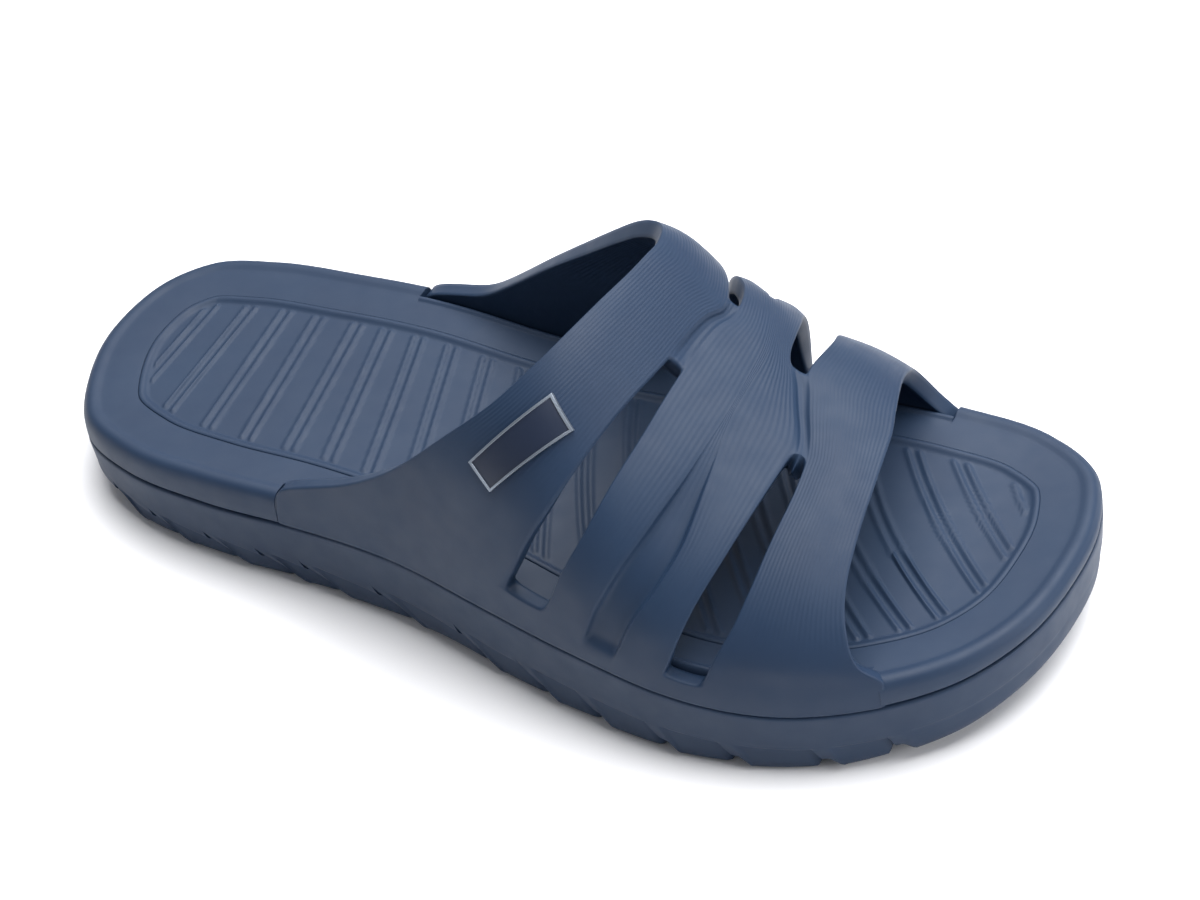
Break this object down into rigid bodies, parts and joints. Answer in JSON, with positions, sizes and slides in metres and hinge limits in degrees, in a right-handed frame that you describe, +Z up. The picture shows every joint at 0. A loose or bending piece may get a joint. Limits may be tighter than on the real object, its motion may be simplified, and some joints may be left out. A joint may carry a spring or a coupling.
{
  "type": "slide sandal",
  "caption": "Right foot slide sandal of moulded foam: ribbed footbed, contoured sole and a slotted strap cage open at collar and toe.",
  "frame": {"origin": "bottom centre of the sandal's bounding box, on the floor plane", "axes": "+X from heel to toe, +Y towards the big toe side of this right sandal, +Z up"},
  "size_m": [0.2786, 0.1137, 0.0933],
  "materials": {
    "outsole": "matte moulded foam with a soft sheen",
    "midsole": "matte moulded foam with a soft sheen",
    "footbed": "matte moulded foam with a soft sheen",
    "upper": "matte moulded foam with a soft sheen",
    "badge_plate": "satin plate"
  },
  "bodies": {
    "root": {"outsole": "outsole", "midsole": "midsole", "footbed": "footbed", "upper": "upper", "badge_plate": "badge_plate"}
  },
  "joints": []
}
